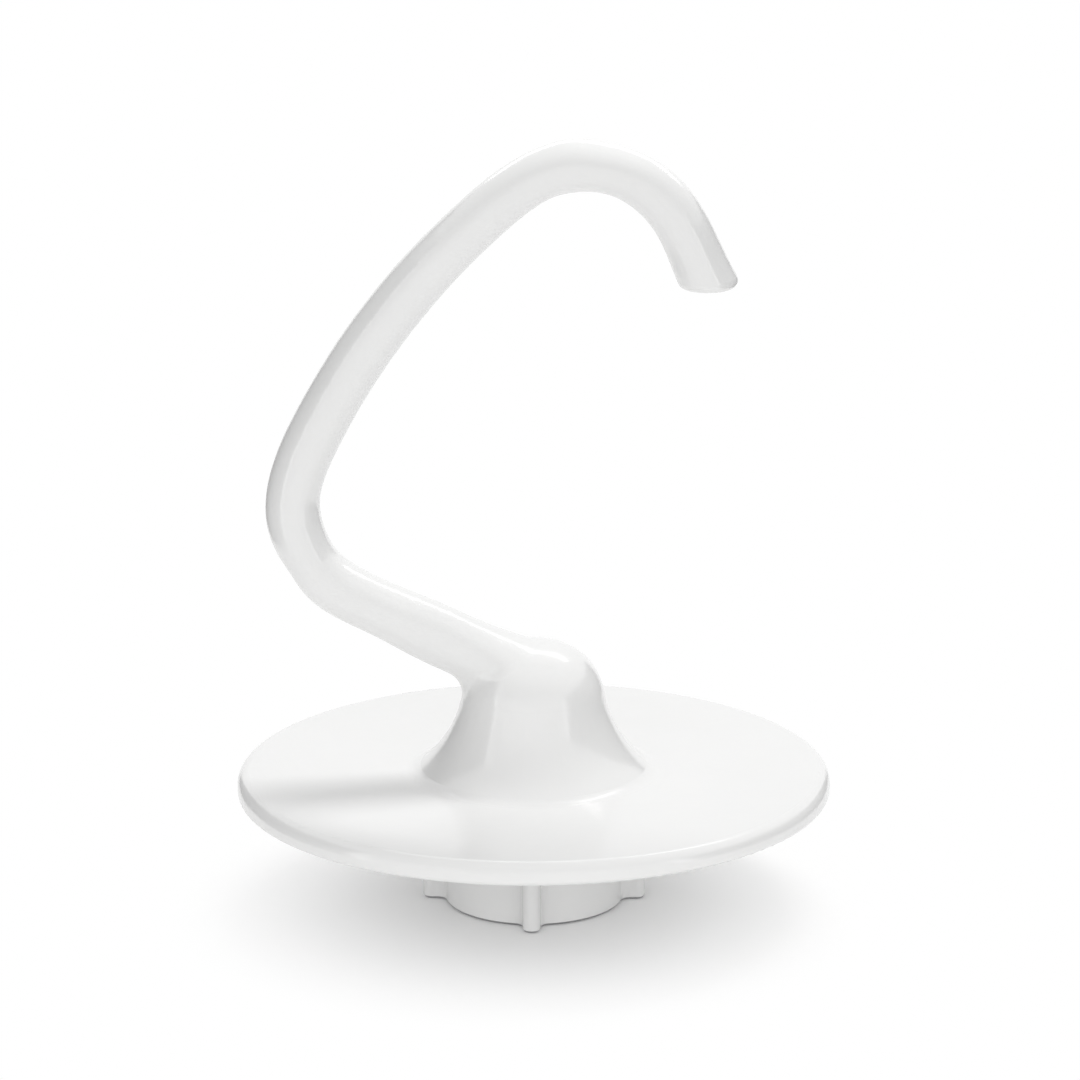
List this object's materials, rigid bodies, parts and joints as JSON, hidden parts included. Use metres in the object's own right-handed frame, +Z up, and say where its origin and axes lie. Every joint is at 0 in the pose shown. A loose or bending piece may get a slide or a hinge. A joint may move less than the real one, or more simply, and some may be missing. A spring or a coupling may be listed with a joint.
{
  "type": "stand mixer dough hook",
  "caption": "C-shaped cast dough hook on a flared boss and a round dough-guard disc, with a ribbed socket hub that slides over a stand mixer's shaft and locks on its cross pin.",
  "frame": {"origin": "on the socket's axis, in the plane of the hub's mouth, which the hook stands on", "axes": "+Z up the socket's axis from the mouth to the boss, +X towards the side of the hook's tip, the arm in the plane Y = 0"},
  "size_m": [0.1142, 0.1142, 0.1495],
  "materials": {
    "white_coat": "glossy white coat on cast aluminium"
  },
  "bodies": {
    "root": {"dough_hook": "white_coat"}
  },
  "joints": []
}
